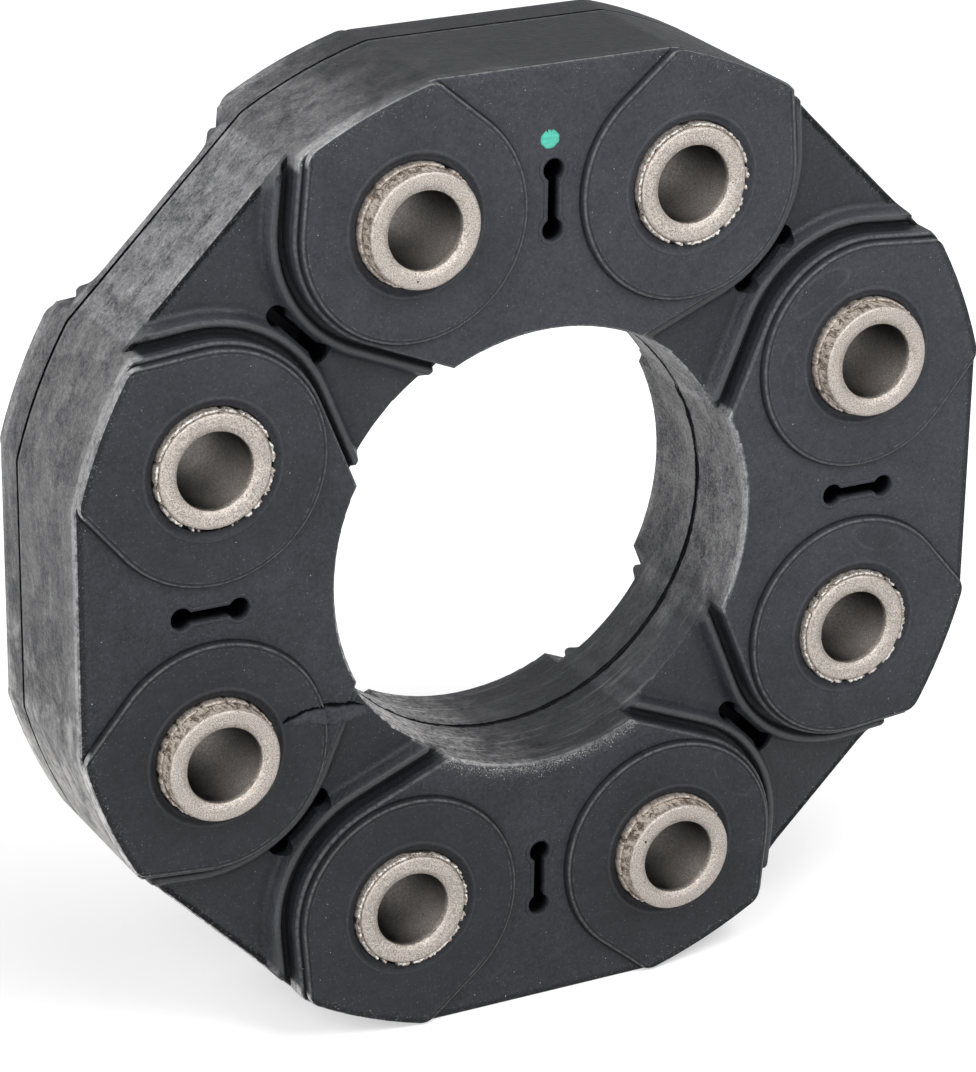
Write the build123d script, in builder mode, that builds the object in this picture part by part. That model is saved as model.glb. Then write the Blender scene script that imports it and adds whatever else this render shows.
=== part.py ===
from build123d import *
from math import acos, atan2, cos, degrees, hypot, radians, sin, sqrt
import os

# Driveshaft flex disc, standing upright: disc axis along Y, front face towards -Y, +Z up.
# Origin at the disc centre, on the axis and in the middle of the thickness.

# Driving sizes, mm
bolt_circle_d = 100.0
pair_count = 4
sleeve_bore_d = 10.1

# Widths across the face, each from its neighbour outwards
sleeve_wall = 2.4
sleeve_shoulder = 0.45
moat_w = 1.0
collar_wall = 1.2
seat_gap = 7.768
cord_cover = 1.55
flange_margin = 0.7
seat_rim = 0.75
flat_step = 2.1
bore_web = 5.15
pad_margin = 0.71
rib_out = 1.5

# Heights, stacked from the middle plane of the disc to the sleeve faces
loop_gap = 0.45
loop_height = 4.7
collar_gap = 0.275
collar_flange_t = 0.8
moat_floor_t = 0.75
moat_step = 0.1
seat_rise = 0.85
shoulder_rise = 0.6
ring_step = 0.15
proud_rise = 1.97
floor_cover = 3.225
rib_rise = 1.8
groove_rise = 0.6
root_depth = 1.1

# Small steps where two surfaces of the moulding would otherwise fall together
floor_bore_step = 0.1
rib_bore_step = 0.15
bore_taper = 0.5
seat_wall_step = 0.06
collar_split = 0.05

# Dogbone slots, sunk from each face down to a thin web in the middle
slot_web_t = 1.0
slot_out = 0.3
slot_lobe_r = 1.45
slot_lobe_span = 7.7
slot_neck_w = 1.5

# Mould lines
outer_line_h = -6.4
outer_line_w = 0.45
outer_line_depth = 0.3
bore_line_w = 0.6
bore_line_depth = 0.4

# Corners, chamfers and roundings
outline_corner_r = 4.0
seat_corner_r = 2.5
mouth_w = 0.85
mouth_depth = 0.3
face_bevel = 0.3
seat_round = 0.32
pad_round = 0.45
floor_round = 0.5
rib_root_round = 0.35
rib_top_round = 0.5
rib_foot_round = 1.0
rib_end_round = 0.4

# Rib section, from its crest line sideways and up from the sunk floor
rib_under = 0.3
rib_slope_in = 0.8
rib_crest_in = 0.35
rib_crest_out = 0.4
rib_slope_out = 1.3
rib_foot_w = 1.3
rib_foot_step = 0.04

# Plan sizes that follow
sleeve_count = 2 * pair_count
half_step = 180.0 / sleeve_count
bolt_r = bolt_circle_d / 2
chord_reach = bolt_r * cos(radians(half_step))
chord_length = 2 * bolt_r * sin(radians(half_step))
sleeve_spigot_d = sleeve_bore_d + 2 * sleeve_wall
sleeve_body_d = sleeve_spigot_d + 2 * sleeve_shoulder
bore_radius = sleeve_bore_d / 2
spigot_radius = sleeve_spigot_d / 2
body_radius = sleeve_body_d / 2
moat_r = body_radius + moat_w
collar_barrel_r = body_radius + collar_wall
seat_r = (chord_length - seat_gap) / 2
loop_outer_r = seat_r - cord_cover
collar_flange_r = loop_outer_r - flange_margin
pad_r = seat_r + pad_margin
rib_r = pad_r + rib_out
outer_r = bolt_r + seat_r + seat_rim
seat_outer_r = outer_r - seat_wall_step
flat_r = outer_r - flat_step
bore_r = bolt_r - seat_r - bore_web
bore_floor_r = bore_r - floor_bore_step
bore_mid_r = bore_r - bore_taper
rib_bore_r = bore_r + rib_bore_step
slot_reach = chord_reach + slot_out

# Heights that follow
loop_mid_low = loop_gap / 2
loop_mid_top = loop_mid_low + loop_height
loop_front_low = loop_mid_top + loop_gap
loop_front_top = loop_front_low + loop_height
flange_low_h = loop_front_top + collar_gap
collar_top_h = flange_low_h + collar_flange_t
moat_h = collar_top_h + moat_floor_t
pad_h = moat_h + moat_step
seat_h = pad_h + seat_rise
seat_root_h = pad_h - root_depth
sleeve_body_half = seat_h + shoulder_rise
sleeve_flush_h = sleeve_body_half + ring_step
sleeve_proud_h = sleeve_flush_h + proud_rise
floor_h = loop_mid_top + floor_cover
floor_root_h = floor_h - root_depth
rib_h = floor_h + rib_rise
groove_h = floor_h + groove_rise

# Outline corners seen from a hole, and where a line from one touches the seat's circle
corner_off = half_step - degrees(acos(flat_r / outer_r))
corner_u = outer_r * cos(radians(corner_off)) - bolt_r
corner_v = outer_r * sin(radians(corner_off))
corner_reach = sqrt(corner_u**2 + corner_v**2)
outer_tangent = degrees(atan2(corner_v, corner_u) + acos(seat_r / corner_reach))
inner_tangent = 180.0 - 2 * half_step
reach = 2 * outer_r

os.makedirs("parts", exist_ok=True)


def spot(radius, angle):
    """Point at a radius and an angle from the disc axis."""
    return (radius * cos(radians(angle)), radius * sin(radians(angle)))


def axis_distance(shape):
    """Distance of a shape's centre from the disc axis."""
    return hypot(shape.center().X, shape.center().Z)


def outline_sketch(inset):
    """Round outline cut by eight flats, one across each pair of sleeves, set in from the wall."""
    with BuildSketch() as outline:
        Circle(outer_r - inset)
        RegularPolygon(
            flat_r - inset, sleeve_count, major_radius=False, rotation=half_step, mode=Mode.INTERSECT
        )
        fillet(outline.vertices(), outline_corner_r)
    return outline.sketch


def side_points(rho):
    """Points of a pad's side line at a distance rho from its hole: near end, arc start, arc end and far end."""
    hole = spot(bolt_r, half_step)
    a1 = half_step + outer_tangent
    a2 = half_step + inner_tangent
    p1 = (hole[0] + spot(rho, a1)[0], hole[1] + spot(rho, a1)[1])
    p2 = (hole[0] + spot(rho, a2)[0], hole[1] + spot(rho, a2)[1])
    far = (p1[0] + spot(reach, a1 - 90)[0], p1[1] + spot(reach, a1 - 90)[1])
    run = p2[1] / sin(radians(a2 - 90))
    near = (p2[0] - run * cos(radians(a2 - 90)), 0)
    return hole, a1, a2, near, p2, p1, far


def pad_sketch(rho):
    """Area of one pad, pointing along local X, whose sides keep a distance rho from its two holes."""
    hole, a1, a2, near, p2, p1, far = side_points(rho)
    with BuildSketch() as pad:
        with BuildLine():
            Line(near, p2)
            CenterArc(hole, rho, a2, a1 - a2)
            Line(p1, far)
            Line(far, (far[0], 0))
            Line((far[0], 0), near)
        make_face()
        mirror(about=Plane.XZ)
    return pad.sketch


def seat_sketch():
    """Area of one raised seat, pointing along local X: a round disc run out to the two outline corners."""
    t_u = seat_r * cos(radians(outer_tangent))
    t_v = seat_r * sin(radians(outer_tangent))
    with BuildSketch() as seat:
        with Locations((bolt_r, 0)):
            Circle(seat_r)
            Polygon(
                (0, 0),
                (t_u, t_v),
                (corner_u, corner_v),
                (outer_r, corner_v),
                (outer_r, -corner_v),
                (corner_u, -corner_v),
                (t_u, -t_v),
                align=None,
            )
        Circle(seat_outer_r, mode=Mode.INTERSECT)
        fillet(seat.vertices().filter_by(lambda v: hypot(v.X, v.Y) > seat_outer_r - 0.01), seat_corner_r)
    return seat.sketch


outline = outline_sketch(0)
line_floor = outline_sketch(outer_line_depth)
pad_area = pad_sketch(pad_r)
seat_area = seat_sketch()

# Front half of the slab under the sunk diagonals
with BuildPart() as slab:
    with BuildSketch(Plane.XZ):
        add(outline)
    extrude(amount=floor_h)
    with BuildSketch(Plane.XY):
        with BuildLine():
            Polyline(
                (0, root_depth),
                (bore_mid_r, root_depth),
                (bore_mid_r, 0),
                (bore_floor_r, -floor_h),
                (0, -floor_h),
                close=True,
            )
        make_face()
    revolve(axis=Axis.Y, mode=Mode.SUBTRACT)
    fillet(slab.edges().group_by(Axis.Y)[0], floor_round)

# Front pads, raised over each pair of sleeves
with BuildPart() as pads:
    with BuildSketch(Plane.XZ.offset(floor_root_h)):
        with PolarLocations(0, pair_count):
            add(pad_area)
        add(outline, mode=Mode.INTERSECT)
        Circle(bore_r, mode=Mode.SUBTRACT)
    extrude(amount=pad_h - floor_root_h)
    fillet(pads.edges().group_by(Axis.Y)[0], pad_round)

# Front seats, round discs a little above the pads
with BuildPart() as seats:
    with BuildSketch(Plane.XZ.offset(seat_root_h)):
        with PolarLocations(0, sleeve_count, start_angle=half_step):
            add(seat_area)
    extrude(amount=seat_h - seat_root_h)
    fillet(seats.edges().group_by(Axis.Y)[0], seat_round)

# Crest line of one rib, which follows the side of a pad
hole, arc_end, arc_start, near, p2, p1, far = side_points(rib_r)
with BuildLine(Plane.XZ) as rib_line:
    Line(near, p2)
    CenterArc(hole, rib_r, arc_start, arc_end - arc_start)
    Line(p1, far)

# One rib: a soft section with a shallow groove on its pad side, swept along the crest line
rib_start = rib_line.line @ 0
rib_ahead = rib_line.line % 0
rib_plane = Plane(origin=rib_start, x_dir=(-rib_ahead.Z, 0, rib_ahead.X), z_dir=rib_ahead)
rib_corners = (
    (-rib_slope_in, rib_root_round),
    (-rib_crest_in, rib_top_round),
    (rib_crest_out, rib_top_round),
    (rib_slope_out, rib_foot_round),
)
with BuildPart() as rib:
    with BuildSketch(rib_plane) as rib_section:
        with BuildLine():
            Polyline(
                (-rib_out - rib_under, floor_root_h),
                (-rib_out - rib_under, groove_h),
                (-rib_slope_in, groove_h),
                (-rib_crest_in, rib_h),
                (rib_crest_out, rib_h),
                (rib_slope_out, floor_h + rib_foot_step),
                (rib_slope_out + rib_foot_w, floor_h - rib_foot_step),
                (rib_slope_out + rib_foot_w, floor_root_h),
                close=True,
            )
        make_face()
        for corner_at, rounding in rib_corners:
            fillet(rib_section.vertices().filter_by(lambda v: abs(v.X - corner_at) < 0.001), rounding)
    sweep(path=rib_line.line)

# Front ribs, two beside each sunk diagonal
opposite_rib = mirror(rib.part, about=Plane.XY)
with BuildPart() as ribs:
    for n in range(pair_count):
        add(rib.part, rotation=(0, 360.0 / pair_count * n, 0))
        add(opposite_rib, rotation=(0, 360.0 / pair_count * n, 0))
    with BuildSketch(Plane.XZ):
        add(outline)
        Circle(rib_bore_r, mode=Mode.SUBTRACT)
    extrude(amount=pad_h, mode=Mode.INTERSECT)
    upright = ribs.faces().filter_by(lambda f: abs(f.normal_at().Y) < 0.001)
    rib_ends = upright.filter_by(lambda f: axis_distance(f) < rib_bore_r + 1 or axis_distance(f) > flat_r - 1)
    end_edges = rib_ends.edges().filter_by(Axis.Y, reverse=True)
    fillet(end_edges.filter_by(lambda e: e.center().Y < -floor_h), rib_end_round)

# Cord loops: each is wound round two neighbouring sleeves
loops = {}
levels = {
    "front": (loop_front_low, 0.0),
    "midfront": (loop_mid_low, 2 * half_step),
    "midrear": (-loop_mid_low - loop_height, 2 * half_step),
    "rear": (-loop_front_low - loop_height, 0.0),
}
for level, (low, turn) in levels.items():
    for n in range(pair_count):
        angle = 360.0 / pair_count * n + turn
        with BuildPart() as loop:
            with BuildSketch(Plane.XZ.offset(low)):
                with Locations(spot(chord_reach, angle)):
                    SlotCenterToCenter(chord_length, 2 * loop_outer_r, rotation=angle + 90)
                    SlotCenterToCenter(
                        chord_length, 2 * collar_barrel_r, rotation=angle + 90, mode=Mode.SUBTRACT
                    )
            extrude(amount=loop_height)
        loop.part.label = f"loop_{level}_{n + 1}"
        loops[loop.part.label] = loop.part

# Support collars, one from each face of every sleeve
collars = {}
for side, sign in (("front", 1), ("rear", -1)):
    for n in range(sleeve_count):
        centre = spot(bolt_r, half_step + 360.0 / sleeve_count * n)
        with BuildPart() as collar:
            with BuildSketch(Plane.XZ.offset(sign * collar_split)):
                with Locations(centre):
                    Circle(collar_barrel_r)
                    Circle(body_radius, mode=Mode.SUBTRACT)
            extrude(amount=sign * (collar_top_h - collar_split))
            with BuildSketch(Plane.XZ.offset(sign * flange_low_h)):
                with Locations(centre):
                    Circle(collar_flange_r)
                    Circle(body_radius, mode=Mode.SUBTRACT)
            extrude(amount=sign * collar_flange_t)
        collar.part.label = f"collar_{side}_{n + 1}"
        collars[collar.part.label] = collar.part

# Steel sleeves, every second one turned end for end
sleeves = {}
for n in range(sleeve_count):
    centre = spot(bolt_r, half_step + 360.0 / sleeve_count * n)
    front_h = sleeve_proud_h if n % 2 == 0 else sleeve_flush_h
    rear_h = sleeve_flush_h if n % 2 == 0 else sleeve_proud_h
    sleeve_axis = Axis((centre[0], 0, centre[1]), (0, 1, 0))
    with BuildPart() as sleeve:
        with BuildSketch(Plane(origin=(centre[0], 0, centre[1]), x_dir=(1, 0, 0), z_dir=(0, 0, 1))):
            with BuildLine():
                Polyline(
                    (bore_radius, mouth_depth - front_h),
                    (bore_radius + mouth_w, -front_h),
                    (spigot_radius - face_bevel, -front_h),
                    (spigot_radius, face_bevel - front_h),
                    (spigot_radius, -sleeve_body_half),
                    (body_radius, -sleeve_body_half),
                    (body_radius, sleeve_body_half),
                    (spigot_radius, sleeve_body_half),
                    (spigot_radius, rear_h - face_bevel),
                    (spigot_radius - face_bevel, rear_h),
                    (bore_radius + mouth_w, rear_h),
                    (bore_radius, rear_h - mouth_depth),
                    close=True,
                )
            make_face()
        revolve(axis=sleeve_axis)
    sleeve.part.label = f"sleeve_{n + 1}"
    sleeves[sleeve.part.label] = sleeve.part

# Rubber moulding, with a cavity for every piece that it holds
with BuildPart() as rubber_body:
    add(slab.part)
    add(pads.part)
    add(ribs.part)
    add(seats.part)
    with BuildSketch(Plane.XZ.offset(moat_h)):
        with PolarLocations(bolt_r, sleeve_count, start_angle=half_step):
            Circle(moat_r)
    extrude(amount=seat_h, mode=Mode.SUBTRACT)
    with BuildSketch(Plane.XZ.offset(slot_web_t / 2)):
        with PolarLocations(slot_reach, sleeve_count):
            Rectangle(slot_lobe_span, slot_neck_w)
            with GridLocations(slot_lobe_span, 0, 2, 1):
                Circle(slot_lobe_r)
    extrude(amount=seat_h, mode=Mode.SUBTRACT)
    mirror(about=Plane.XZ)
    with BuildSketch(Plane.XZ.offset(-bore_line_w / 2)):
        Circle(bore_mid_r + bore_line_depth)
    extrude(amount=bore_line_w, mode=Mode.SUBTRACT)
    with BuildSketch(Plane.XZ.offset(outer_line_h - outer_line_w / 2)):
        Circle(outer_r + 1)
        add(line_floor, mode=Mode.SUBTRACT)
    extrude(amount=outer_line_w, mode=Mode.SUBTRACT)
    with BuildSketch(Plane.XZ.offset(-seat_h)):
        with PolarLocations(bolt_r, sleeve_count, start_angle=half_step):
            Circle(body_radius)
    extrude(amount=2 * seat_h, mode=Mode.SUBTRACT)
    add(list(collars.values()), mode=Mode.SUBTRACT)
    add(list(loops.values()), mode=Mode.SUBTRACT)
rubber_body.part.label = "rubber_body"

export_step(rubber_body.part, "parts/rubber_body.step")
for name, solid in {**sleeves, **loops, **collars}.items():
    export_step(solid, f"parts/{name}.step")
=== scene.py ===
import math
from types import SimpleNamespace

import bmesh
import bpy
import numpy as np
from bpy.props import FloatProperty, FloatVectorProperty, IntProperty, PointerProperty
from mathutils import Matrix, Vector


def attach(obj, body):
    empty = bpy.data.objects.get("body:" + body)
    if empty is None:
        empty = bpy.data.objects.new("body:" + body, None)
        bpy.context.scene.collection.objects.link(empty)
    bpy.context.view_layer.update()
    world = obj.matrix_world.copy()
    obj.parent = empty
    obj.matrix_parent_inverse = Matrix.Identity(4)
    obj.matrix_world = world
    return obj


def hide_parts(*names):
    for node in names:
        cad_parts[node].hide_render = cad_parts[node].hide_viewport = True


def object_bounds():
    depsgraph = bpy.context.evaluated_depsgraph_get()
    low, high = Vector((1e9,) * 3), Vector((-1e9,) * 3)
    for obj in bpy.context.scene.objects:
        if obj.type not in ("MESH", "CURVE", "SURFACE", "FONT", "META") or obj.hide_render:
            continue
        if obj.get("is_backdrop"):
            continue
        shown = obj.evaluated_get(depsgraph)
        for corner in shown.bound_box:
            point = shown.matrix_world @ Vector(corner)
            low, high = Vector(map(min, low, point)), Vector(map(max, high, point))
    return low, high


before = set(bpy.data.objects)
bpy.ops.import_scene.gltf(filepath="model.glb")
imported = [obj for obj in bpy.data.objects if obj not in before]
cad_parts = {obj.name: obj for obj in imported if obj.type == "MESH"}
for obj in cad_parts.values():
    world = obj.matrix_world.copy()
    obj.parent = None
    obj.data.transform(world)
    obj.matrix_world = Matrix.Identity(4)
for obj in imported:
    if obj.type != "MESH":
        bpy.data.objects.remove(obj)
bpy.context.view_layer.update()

bl_info = {
    "name": "Driveshaft Flex Disc",
    "version": (1, 0, 0),
    "blender": (4, 5, 0),
    "location": "3D View > Sidebar > Flex Disc",
    "description": "Dresses the driveshaft flex disc and sets up its studio",
    "category": "Object",
}

# Places on the disc, in millimetres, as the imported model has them. The disc's
# axis is Y, the front faces -Y, and a hole's angle is counted from +X towards +Z.
MM = 0.001
BOLT_R = 50.0
HOLES = 8
HALF_STEP = math.radians(22.5)
BORE_R = 29.6
BORE_MID_R = 29.1
OUTER_R = 66.0
FLAT_R = 63.9
SEAT_R = 15.25
PAD_R = 15.96
FLOOR_H = 8.15
PAD_H = 12.0
SEAT_H = 12.85
MOAT_H = 11.9
MOAT_R = 8.9
SLEEVE_BORE_R = 5.05
SPIGOT_R = 7.45
BODY_R = 7.9
SHOULDER_H = 13.45
FLUSH_H = 13.6
PROUD_H = 15.57
MOULD_LINE_H = 6.4
SLOT_REACH = 46.5
SLOT_HALF_SPAN = 3.85
SLOT_LOBE_R = 1.45
SLOT_HALF_NECK = 0.75

# Angles at a hole, from straight outwards, at which the side of its pad leaves
# the circle round it: towards the outer wall and towards the centre bore.
CORNER_U = 15.355
CORNER_V = 9.21
OUTER_TANGENT = math.atan2(CORNER_V, CORNER_U) + math.acos(SEAT_R / math.hypot(CORNER_U, CORNER_V))
INNER_TANGENT = math.pi - 2 * HALF_STEP

# Witness marks on the front seats: place across and up, long axis in degrees,
# half length and half width.
SEAT_MARKS = (
    (32.2, 37.1, -30.0, 4.4, 1.5),
    (38.7, 29.2, 33.0, 4.6, 1.7),
    (34.5, 17.9, 92.0, 4.0, 1.2),
    (49.4, -7.0, 165.0, 4.0, 1.6),
    (28.2, -37.6, 130.0, 4.2, 1.5),
    (-39.3, -30.0, 33.0, 3.6, 1.2),
)

# Upper and lower edge of the torn sliver beside the lower left sleeve
TEAR_UPPER = ((-37.6, -16.5), (-36.7, -16.0), (-35.5, -15.6), (-34.0, -15.3), (-32.6, -15.2), (-31.3, -15.3),
              (-30.0, -15.6), (-28.2, -15.8), (-26.4, -16.1), (-25.5, -16.4))
TEAR_LOWER = ((-37.5, -16.8), (-36.6, -16.7), (-35.5, -16.7), (-34.2, -16.8), (-32.6, -17.2), (-31.4, -17.7),
              (-30.2, -18.1), (-28.2, -18.2), (-26.4, -18.0), (-25.2, -17.6))

# Dark pits on the front faces of two sleeves: place across and up, and radius
SLEEVE_PITS = ((-20.3, 40.0, 0.16), (13.9, -42.8, 0.22))

# The camera of the photograph, in metres, fitted to the eight holes
CAMERA_RIGHT = (0.88552, -0.46439, 0.01401)
CAMERA_UP = (0.16722, 0.34669, 0.92295)
CAMERA_AHEAD = (0.43347, 0.81495, -0.38466)
CAMERA_PLACE = (-0.24172, -0.45078, 0.21050)

# Light that has bounced more often than this no longer shows on black rubber
MAX_BOUNCES = 5
DIFFUSE_BOUNCES = 2

# How much of a mirror's gloss the rubber has
RUBBER_SPECULAR = 0.20

# Points round or along the small forms
BEAD_SIDES = 8
LIP_STEPS = 160
SLOT_STEPS = 220
FLASH_STEPS = 1400
DOT_STEPS = 180
TEAR_STEPS = 150
ENDS = (-1.0, 1.0)  # front and rear


def hole_angle(number):
    """Angle of hole 1 to 8 round the disc, in radians."""
    return (2 * number - 1) * HALF_STEP


def hole_place(number):
    """Place of hole 1 to 8, across and up."""
    return BOLT_R * math.cos(hole_angle(number)), BOLT_R * math.sin(hole_angle(number))


# ---------------------------------------------------------------- settings


def colour_setting(name, description, default):
    """A colour that the panel shows as a swatch."""
    return FloatVectorProperty(
        name=name, description=description, subtype="COLOR", size=3, min=0.0, max=1.0, default=default
    )


def length_setting(name, description, millimetres):
    """A length, given here in millimetres and kept in metres."""
    return FloatProperty(name=name, description=description, unit="LENGTH", default=millimetres * MM)


def share_setting(name, description, default):
    """A share from 0 to 1."""
    return FloatProperty(
        name=name, description=description, subtype="FACTOR", min=0.0, max=1.0, default=default
    )


def power_setting(name, description, default):
    """A lamp's power in watts."""
    return FloatProperty(
        name=name, description=description, subtype="POWER", unit="POWER", min=0.0, default=default
    )


class RubberSettings(bpy.types.PropertyGroup):
    """Colours and dust of the rubber moulding."""

    face_colour: colour_setting("Face Colour", "Colour of the clean rubber", (0.0205, 0.0214, 0.0262))
    # The dust colour also carries painted light on the lit sides of the walls and the bore
    dusty_lit_wall_colour: colour_setting("Wall Dust", "Colour of the bloom on the side walls", (0.30, 0.298, 0.30))
    # This colour also carries the painted highlights along the edges
    worn_and_lit_edge_colour: colour_setting("Edge Wear", "Colour of the rubbed edges", (0.34, 0.34, 0.34))
    dust_and_light_amount: share_setting("Dust Amount", "How much of the side walls' bloom shows", 0.85)
    speck_amount: share_setting("Speck Amount", "How strongly the fine light specks show", 0.4)


class SleeveSettings(bpy.types.PropertyGroup):
    """Sizes and colours of the steel sleeves."""

    steel_colour: colour_setting("Steel Colour", "Colour of the fine-grained steel", (0.395, 0.358, 0.326))
    stain_colour: colour_setting("Stain Colour", "Brown stain on the sides", (0.10, 0.066, 0.045))
    flake_colour: colour_setting("Flake Colour", "Colour of the ring round each foot", (0.52, 0.51, 0.49))
    mouth_width: length_setting("Mouth Width", "Width of the chamfer round the bore", 0.85)
    mouth_depth: length_setting("Mouth Depth", "Depth of the chamfer round the bore", 0.3)
    face_bevel: length_setting("Face Bevel", "Bevel round the outside of the face", 0.3)
    steps_round: IntProperty(name="Steps Round", description="Points round each sleeve", min=24, default=240)


class MarkSettings(bpy.types.PropertyGroup):
    """Small marks and moulding flash on the rubber."""

    paint_colour: colour_setting("Paint Colour", "Colour of the paint dot", (0.040, 0.32, 0.245))
    paint_width: length_setting("Paint Width", "Width of the paint dot", 2.6)
    lip_rise: length_setting("Lip Rise", "Height of the soft lips round the slots and the sleeves", 0.09)
    flash_rise: length_setting("Flash Rise", "Greatest height of the ragged flash in the bore", 0.22)
    tear_lift: length_setting("Tear Lift", "How far the torn sliver's free edge stands off the moulding", 0.6)
    crumb_width: length_setting("Crumb Width", "Width of the largest rubber crumbs", 0.15)


class StudioSettings(bpy.types.PropertyGroup):
    """Camera and light."""

    lens: FloatProperty(
        name="Lens",
        description="Focal length on a sensor of 36 mm",
        subtype="DISTANCE_CAMERA",
        min=1.0,
        default=144.15,
    )
    key_power: power_setting("Key Light", "Power of the large light at the left", 9.0)
    fill_power: power_setting("Fill Light", "Power of the light at the upper right in front", 3.3)
    sky_strength: FloatProperty(
        name="Sky Strength", description="Even light from all round", min=0.0, default=0.45
    )


# ---------------------------------------------------------------- shader formulas


def operation(name, swapped=False):
    """A method that works out one shader sum of its own term and of what it is given."""

    def apply(self, *others):
        return self.graph.math(name, *((*others, self) if swapped else (self, *others)))

    return apply


class Term:
    """A number that a shader works out at each point, so that a formula can be written as a plain sum."""

    def __init__(self, graph, socket):
        self.graph = graph
        self.socket = socket

    __add__ = __radd__ = operation("ADD")
    __sub__ = operation("SUBTRACT")
    __rsub__ = operation("SUBTRACT", swapped=True)
    __mul__ = __rmul__ = operation("MULTIPLY")
    __truediv__ = operation("DIVIDE")
    __abs__ = operation("ABSOLUTE")
    sqrt = operation("SQRT")
    cos = operation("COSINE")
    sin = operation("SINE")
    above = operation("GREATER_THAN")
    most = operation("MAXIMUM")
    least = operation("MINIMUM")

    def __neg__(self):
        return self * -1.0

    def clamped(self):
        """The number kept from 0 to 1."""
        return self.graph.math("MULTIPLY", self, 1.0, clamp=True)

    def wrapped(self, low, high):
        """The number brought between low and high by whole turns."""
        return self.graph.math("WRAP", self, high, low)

    def ramp(self, low, high):
        """0 below low and 1 above high, with a smooth rise between. Turned round where high is below low."""
        return self.graph.ramp(self, low, high)

    def band(self, middle, width):
        """1 at middle and 0 at width or more from it."""
        return self.graph.ramp(abs(self - middle), width, 0.0)


class Graph:
    """Builds the nodes of one material or of the world."""

    def __init__(self, owner):
        self.owner = owner
        owner.use_nodes = True
        owner.node_tree.nodes.clear()
        self.nodes = owner.node_tree.nodes
        self.links = owner.node_tree.links

    def join(self, value, socket):
        """Gives a socket a number, a colour or another node's output. A node stands for its first output."""
        if isinstance(value, Term):
            value = value.socket
        elif isinstance(value, bpy.types.Node):
            value = value.outputs[0]
        if isinstance(value, bpy.types.NodeSocket):
            self.links.new(value, socket)
        elif value is not None:
            if hasattr(value, "__len__") and len(value) == 3 and socket.type == "RGBA":
                value = (*value, 1.0)
            socket.default_value = value

    def node(self, kind, inputs, **values):
        """One node, with values for its sockets by name or number and for its own properties."""
        node = self.nodes.new("ShaderNode" + kind)
        for name, value in values.items():
            setattr(node, name, value)
        for key, value in inputs.items():
            self.join(value, node.inputs[key])
        return node

    def math(self, name, *values, clamp=False):
        """One sum of a math node."""
        node = self.node("Math", dict(enumerate(values)), operation=name, use_clamp=clamp)
        return Term(self, node.outputs[0])

    def ramp(self, value, low, high):
        """A smooth rise from 0 at low to 1 at high."""
        ends = (low, high, 0.0, 1.0) if low < high else (high, low, 1.0, 0.0)
        node = self.node("MapRange", dict(enumerate((value, *ends))), interpolation_type="SMOOTHSTEP")
        return Term(self, node.outputs[0])

    def parts(self, vector):
        """The three numbers of a vector."""
        return [Term(self, out) for out in self.node("SeparateXYZ", {0: vector}).outputs]

    def place(self):
        """Object coordinates in millimetres, as a vector and as three numbers."""
        source = self.node("TexCoord", {}).outputs["Object"]
        scaled = self.node("VectorMath", {0: source, "Scale": 1.0 / MM}, operation="SCALE")
        return scaled, self.parts(scaled)

    def facing(self):
        """The surface's normal in the object's own axes, as three numbers."""
        return self.parts(self.node("TexCoord", {}).outputs["Normal"])

    def stretched(self, vector, scale):
        """A place vector scaled along each axis, so that a noise runs in streaks."""
        return self.node("Mapping", {"Vector": vector, "Scale": scale}, vector_type="POINT")

    def combined(self, x, y, z):
        """A vector of three numbers."""
        return self.node("CombineXYZ", {0: x, 1: y, 2: z})

    def noise(self, vector, scale, detail=2.0, roughness=0.5, distortion=0.0):
        """Noise from 0 to 1 about 0.5. scale is in waves per millimetre."""
        inputs = {"Vector": vector, "Scale": scale, "Detail": detail, "Roughness": roughness}
        return Term(self, self.node("TexNoise", {**inputs, "Distortion": distortion}).outputs["Fac"])

    def cells(self, vector, scale):
        """Distance to the nearest of a set of scattered points, in cells, and a number for each cell."""
        node = self.node("TexVoronoi", {"Vector": vector, "Scale": scale, "Randomness": 1.0})
        return Term(self, node.outputs["Distance"]), self.parts(node.outputs["Color"])[0]

    def attribute(self, name):
        """A number stored at each point of a piece."""
        return Term(self, self.node("Attribute", {}, attribute_name=name).outputs["Fac"])

    def mix(self, share, low, high):
        """A colour between two others."""
        return self.node("Mix", {0: share, 6: low, 7: high}, data_type="RGBA").outputs[2]

    def layered(self, colour, *layers):
        """A colour with others laid over it, each with its share."""
        for share, over in layers:
            colour = self.mix(share, colour, over)
        return colour

    def bump(self, height, distance, strength=1.0, normal=None):
        """A normal bent by a height from 0 to 1, distance metres high."""
        inputs = {"Strength": strength, "Distance": distance, "Height": height, "Normal": normal}
        return self.node("Bump", inputs)

    def seen(self):
        """1 for the rays that the camera, a gloss or a clear body sends out, and 0 for the light's own."""
        path = self.node("LightPath", {}).outputs
        seen = Term(self, path["Is Camera Ray"]).most(Term(self, path["Is Glossy Ray"]))
        return seen.most(Term(self, path["Is Transmission Ray"]))

    def surface(self, **values):
        """Ends the material with one Principled shader: its sockets' names have underscores for spaces."""
        inputs = {name.replace("_", " "): value for name, value in values.items()}
        return self.finish("OutputMaterial", self.node("BsdfPrincipled", inputs))

    def finish(self, kind, result):
        """Joins the last node to an output and returns the material or the world."""
        self.node(kind, {"Surface": result})
        return self.owner


def material_graph(name):
    """The graph of a new material."""
    return Graph(bpy.data.materials.new(name))


def tinted(colour, share):
    """A colour made lighter or darker."""
    return tuple(c * share for c in colour)


# ---------------------------------------------------------------- mesh helpers


def whole_turn(steps):
    """Angles all round, each a step from the next."""
    return np.linspace(0.0, 2.0 * np.pi, steps, endpoint=False)


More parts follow.
